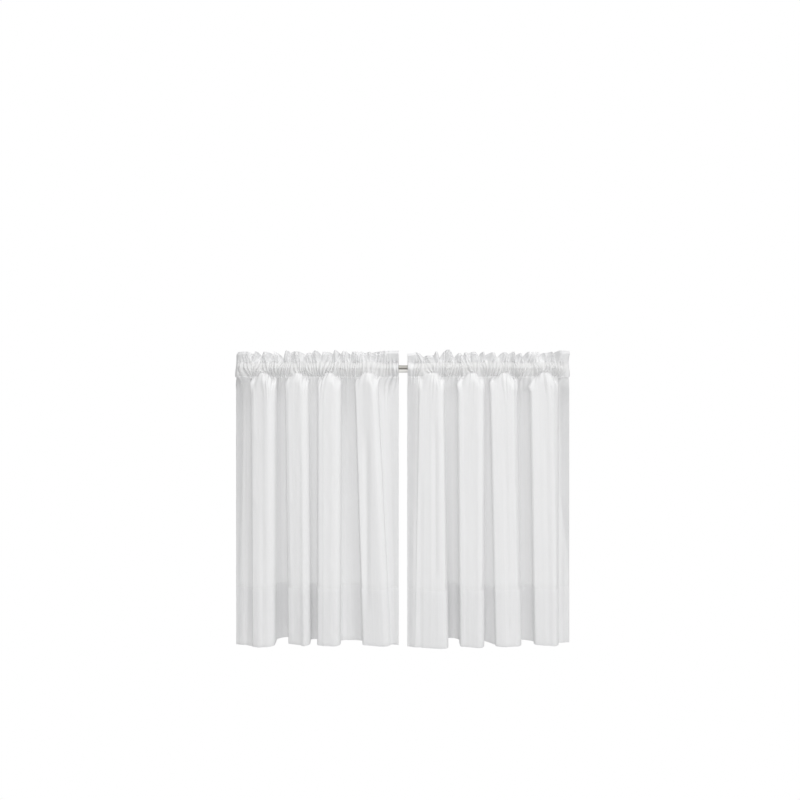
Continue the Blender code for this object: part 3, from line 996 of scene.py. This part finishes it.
def rod_profile():
    """The rod's section as (out, height): round, with the lapped seam of its rolled sheet."""
    ring = []
    for step in range(RING_POINTS):
        angle = step / RING_POINTS * 2 * math.pi
        out, height = ROD_RADIUS * math.cos(angle), ROD_RADIUS * math.sin(angle)
        if out > 0 and SEAM_HEIGHT < height < SEAM_HEIGHT + SEAM_WIDTH:
            out -= SEAM_DEPTH
        ring.append((out, height))
    return ring


def make_rod(material):
    """The rod's section carried along its axis, with a flat end against the wall on each side."""
    profile = rod_profile()
    around = len(profile)
    points, faces = [], []
    for x, y, normal_x, normal_y in rod_path():
        points += [(x + out * normal_x, y + out * normal_y, height) for out, height in profile]
    rings = len(points) // around
    for ring in range(rings - 1):
        for first in range(around):
            second = (first + 1) % around
            start, after = ring * around, (ring + 1) * around
            faces.append((start + first, start + second, after + second, after + first))
    faces.append(tuple(range(around)))
    faces.append(tuple(range((rings - 1) * around, rings * around))[::-1])
    mesh = bpy.data.meshes.new("rod_tube")
    mesh.from_pydata(points, [], faces)
    mesh.shade_smooth()
    piece = add_piece("rod_tube", mesh, material)
    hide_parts("curtain_rod")


class Graph:
    """A material's nodes, with short ways to add and join them."""

    def __init__(self, name):
        self.material = bpy.data.materials.new(name)
        self.material.use_nodes = True
        self.tree = self.material.node_tree
        self.tree.nodes.clear()

    def add(self, kind, inputs=None, **settings):
        node = self.tree.nodes.new(kind)
        for key, value in settings.items():
            setattr(node, key, value)
        for key, value in (inputs or {}).items():
            if hasattr(value, "is_output"):
                self.tree.links.new(value, node.inputs[key])
            else:
                node.inputs[key].default_value = value
        return node

    def math(self, operation, *values):
        return self.add("ShaderNodeMath", dict(enumerate(values)), operation=operation).outputs[0]

    def sum(self, *values):
        total = values[0]
        for value in values[1:]:
            total = self.math("ADD", total, value)
        return total

    def times(self, value, factor):
        return self.math("MULTIPLY", value, factor)

    def spread(self, value, low, high):
        """A value from 0 to 1 as one from low to high."""
        inputs = {"Value": value, "To Min": low, "To Max": high}
        return self.add("ShaderNodeMapRange", inputs).outputs[0]

    def noise(self, place, scale, detail):
        inputs = {"Vector": place, "Scale": scale, "Detail": detail}
        return self.add("ShaderNodeTexNoise", inputs).outputs[0]

    def blend(self, share, first, second):
        """A colour between two others, each given as red, green and blue or as a socket."""
        inputs = {0: share}
        for socket, tint in ((BLEND_FIRST, first), (BLEND_SECOND, second)):
            inputs[socket] = (*tint, 1) if isinstance(tint, tuple) else tint
        return self.add("ShaderNodeMix", inputs, data_type="RGBA").outputs[BLEND_RESULT]

    def finish(self, shader):
        self.add("ShaderNodeOutputMaterial", {"Surface": shader})
        return self.material


def voile():
    """Semi-sheer cloth: light passes between its threads and glows through them."""
    graph = Graph("voile_cloth")
    flat = graph.add("ShaderNodeUVMap", uv_map="cloth").outputs[0]
    across, along, _ = graph.add("ShaderNodeSeparateXYZ", {0: flat}).outputs

    def stretched(cells_across, cells_along, detail):
        cells = {0: flat, 1: (cells_across, cells_along, 1)}
        place = graph.add("ShaderNodeVectorMath", cells, operation="MULTIPLY").outputs[0]
        return graph.noise(place, scale=1.0, detail=detail)

    warp_slubs = stretched(*WARP_SLUB_CELLS, detail=2.0)
    weft_slubs = stretched(*WEFT_SLUB_CELLS, detail=2.0)
    clouds = stretched(*CLOUD_CELLS, detail=3.0)
    turns = 2 * math.pi / THREAD_SPACING
    warp = graph.math("SINE", graph.times(across, turns))
    weft = graph.math("SINE", graph.times(along, turns))
    weave = graph.math("MULTIPLY", warp, weft)
    slubs = graph.sum(graph.times(warp_slubs, WARP_SHARE), graph.times(weft_slubs, 1 - WARP_SHARE))

    above_fold = graph.math("GREATER_THAN", along, 0.0)
    below_line = graph.math("LESS_THAN", along, HEM_DOUBLED)
    doubled = graph.math("MULTIPLY", above_fold, below_line)
    gathered = graph.math("GREATER_THAN", along, POCKET_STARTS_ALONG)
    cover = graph.sum(graph.spread(slubs, *COVER_RANGE), graph.times(weave, COVER_WEAVE))
    # Painted light: the tone is lighter where the cloth is doubled, at the hem and from the pocket
    # up, standing in for the light that its layer behind sends back.
    tone = graph.sum(
        graph.spread(slubs, *TONE_RANGE),
        graph.spread(clouds, -CLOUD_TONE, CLOUD_TONE),
        graph.times(gathered, GATHERED_PAINTED_LIGHT),
        graph.times(doubled, DOUBLED_PAINTED_LIGHT),
    )
    tints = {channel: graph.times(tone, factor) for channel, factor in enumerate(VOILE_TINT)}
    color = graph.add("ShaderNodeCombineColor", tints).outputs[0]
    relief = graph.sum(slubs, graph.times(weave, WEAVE_RELIEF))
    bumped = {"Height": relief, "Strength": 0.25, "Distance": WEAVE_HEIGHT}
    bump = graph.add("ShaderNodeBump", bumped).outputs[0]
    front = graph.add(
        "ShaderNodeBsdfPrincipled",
        {
            "Base Color": color,
            "Roughness": 0.85,
            "Specular IOR Level": 0.2,
            "Sheen Weight": 0.25,
            "Sheen Roughness": 0.5,
            "Normal": bump,
        },
    ).outputs[0]
    through = graph.add("ShaderNodeBsdfTranslucent", {"Color": color, "Normal": bump}).outputs[0]
    body = graph.add("ShaderNodeMixShader", {0: GLOW_SHARE, 1: front, 2: through}).outputs[0]
    clear = graph.add("ShaderNodeBsdfTransparent").outputs[0]
    return graph.finish(graph.add("ShaderNodeMixShader", {0: cover, 1: clear, 2: body}).outputs[0])


def thread():
    """White sewing thread, a little uneven along its stitches, and painted darker than white for the
    shade along its seams.
    """
    graph = Graph("sewing_thread")
    place = graph.add("ShaderNodeTexCoord").outputs["Object"]
    cloud = graph.noise(place, scale=500.0, detail=2.0)
    # Painted shade: the thread's tones are grey, darker than white thread, for the shade along its
    # seams.
    color = graph.blend(cloud, *SHADED_THREAD_TONES)
    inputs = {"Base Color": color, "Roughness": 0.6, "Sheen Weight": 0.3}
    return graph.finish(graph.add("ShaderNodeBsdfPrincipled", inputs).outputs[0])


def enamel():
    """Ivory enamel on rolled steel, a little uneven, with a painted shadow in its seam and painted
    shade above it.
    """
    graph = Graph("rod_enamel")
    place = graph.add("ShaderNodeTexCoord").outputs["Object"]
    cloud = graph.noise(place, scale=40.0, detail=4.0)
    peel = graph.noise(place, scale=900.0, detail=2.0)
    height = graph.add("ShaderNodeSeparateXYZ", {0: place}).outputs[2]
    below_seam = graph.math("LESS_THAN", height, SEAM_HEIGHT)
    above_seam = graph.math("GREATER_THAN", height, SEAM_HEIGHT + SEAM_WIDTH)
    # Painted shade: the rod above its seam is coloured much darker.
    shaded_upper_part = graph.blend(cloud, *UPPER_SHADE_TONES)
    lower_part = graph.blend(cloud, *ENAMEL_TONES)
    # Painted shadow: the seam's groove is coloured near black.
    with_seam_shadow = graph.blend(above_seam, SEAM_SHADOW_TONE, shaded_upper_part)
    color = graph.blend(below_seam, with_seam_shadow, lower_part)
    peeled = {"Height": peel, "Strength": 0.08, "Distance": PEEL_HEIGHT}
    bump = graph.add("ShaderNodeBump", peeled).outputs[0]
    roughness = graph.spread(cloud, low=0.28, high=0.42)
    inputs = {"Base Color": color, "Roughness": roughness, "Normal": bump}
    return graph.finish(graph.add("ShaderNodeBsdfPrincipled", inputs).outputs[0])


def pale_floor():
    """A matt and faintly clouded white."""
    graph = Graph("pale_floor")
    place = graph.add("ShaderNodeTexCoord").outputs["Object"]
    cloud = graph.noise(place, scale=1.5, detail=3.0)
    inputs = {"Base Color": graph.blend(cloud, *FLOOR_TONES), "Roughness": 0.8}
    return graph.finish(graph.add("ShaderNodeBsdfPrincipled", inputs).outputs[0])


def make_floor():
    """A pale floor well below the curtains, out of the photograph's view."""
    sides = ((-FLOOR_HALF_WIDTH, FLOOR_FRONT), (FLOOR_HALF_WIDTH, FLOOR_FRONT))
    sides += ((FLOOR_HALF_WIDTH, FLOOR_BACK), (-FLOOR_HALF_WIDTH, FLOOR_BACK))
    corners = [(x, y, FLOOR_LEVEL) for x, y in sides]
    mesh = bpy.data.meshes.new("floor")
    mesh.from_pydata(corners, [], [(0, 1, 2, 3)])
    floor = bpy.data.objects.new("floor", mesh)
    bpy.context.scene.collection.objects.link(floor)
    floor.data.materials.append(pale_floor())


def make_world():
    """A white backdrop that the camera sees at full white, and softer light from it elsewhere."""
    world = bpy.data.worlds.new("studio")
    bpy.context.scene.world = world
    world.use_nodes = True
    nodes, links = world.node_tree.nodes, world.node_tree.links
    nodes.clear()
    seen = nodes.new("ShaderNodeBackground")
    seen.inputs["Strength"].default_value = BACKDROP_STRENGTH
    seen.inputs["Color"].default_value = (1, 1, 1, 1)
    fill = nodes.new("ShaderNodeBackground")
    fill.inputs["Strength"].default_value = FILL_STRENGTH
    fill.inputs["Color"].default_value = (1, 1, 1, 1)
    path = nodes.new("ShaderNodeLightPath")
    mix = nodes.new("ShaderNodeMixShader")
    out = nodes.new("ShaderNodeOutputWorld")
    links.new(path.outputs["Is Camera Ray"], mix.inputs[0])
    links.new(fill.outputs[0], mix.inputs[1])
    links.new(seen.outputs[0], mix.inputs[2])
    links.new(mix.outputs[0], out.inputs[0])


def aim(item, target):
    """Turns a light to face a place."""
    x, y, z = np.array(target) - np.array(item.location)
    item.rotation_mode = "XYZ"
    item.rotation_euler = (math.atan2(math.hypot(x, y), -z), 0, math.atan2(-x, y))


def add_light(name, location, target, size, power):
    """A soft oblong light of this width and height in metres, and this power in watts."""
    light = bpy.data.lights.new(name, "AREA")
    light.shape = "RECTANGLE"
    light.size, light.size_y = size
    light.energy = power
    item = bpy.data.objects.new(name, light)
    item.location = location
    bpy.context.scene.collection.objects.link(item)
    aim(item, target)


def make_lights():
    """A key light from the right, a weaker one from in front and a faint one from above."""
    middle = (0, 0, -0.3)
    rod = (0, 0, 0)
    add_light("key", location=(2.9, -3.0, 1.0), target=middle, size=(2.2, 2.2), power=58)
    add_light("front", location=(-0.1, -3.3, 0.3), target=middle, size=(2.2, 2.0), power=40)
    add_light("top", location=(0.0, -0.7, 1.9), target=rod, size=(2.0, 0.6), power=20)


def make_camera():
    """The camera looks level and square at the panels."""
    camera = bpy.data.cameras.new("camera")
    camera.lens = CAMERA_LENS
    camera.sensor_width = SENSOR_WIDTH
    camera.shift_x = CAMERA_SHIFT
    item = bpy.data.objects.new("camera", camera)
    item.location = (0, -ROD_PROJECTION - CAMERA_DISTANCE, CAMERA_HEIGHT)
    item.rotation_euler = (math.pi / 2, 0, 0)
    bpy.context.scene.collection.objects.link(item)
    bpy.context.scene.camera = item


bpy.context.scene.view_settings.view_transform = "Standard"
make_camera()
make_world()
make_lights()
make_floor()
make_rod(enamel())
cloth_material = voile()
thread_material = thread()
for each_panel in PANELS:
    hung_cloth = make_panel(each_panel, cloth_material)
    make_stitching(hung_cloth, thread_material)
